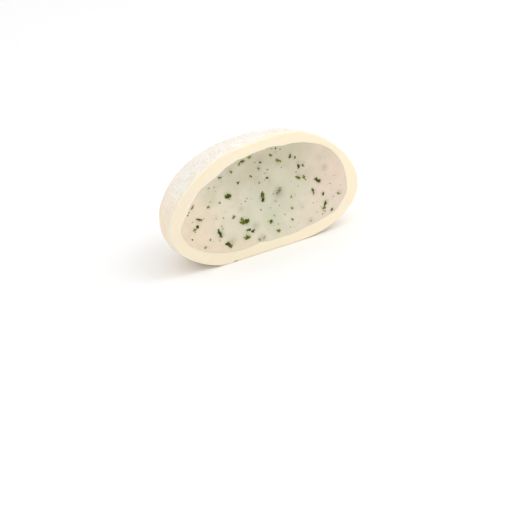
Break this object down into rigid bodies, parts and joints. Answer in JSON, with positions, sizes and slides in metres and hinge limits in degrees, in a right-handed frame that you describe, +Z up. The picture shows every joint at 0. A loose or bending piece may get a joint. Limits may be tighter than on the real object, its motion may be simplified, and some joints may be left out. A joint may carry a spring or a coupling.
{
  "type": "halved filled mochi rice cake",
  "caption": "Half of a round filled rice cake on its flat underside: soft dusted rice dough round a pale creamy filling with flecks of green herb, cut face upright.",
  "frame": {"origin": "bottom centre of the bounding box, on the plane of the flat underside", "axes": "+Z up, -Y the way the cut face looks, +X to the right when looking at the cut"},
  "size_m": [0.048, 0.023, 0.0262],
  "materials": {
    "rice_dough": "soft translucent rice dough, smooth where cut and dusted with starch outside",
    "cream_filling": "smooth pale cream with flecks of dark green herb"
  },
  "bodies": {
    "root": {"rice_skin": "rice_dough", "filling": "cream_filling"}
  },
  "joints": []
}
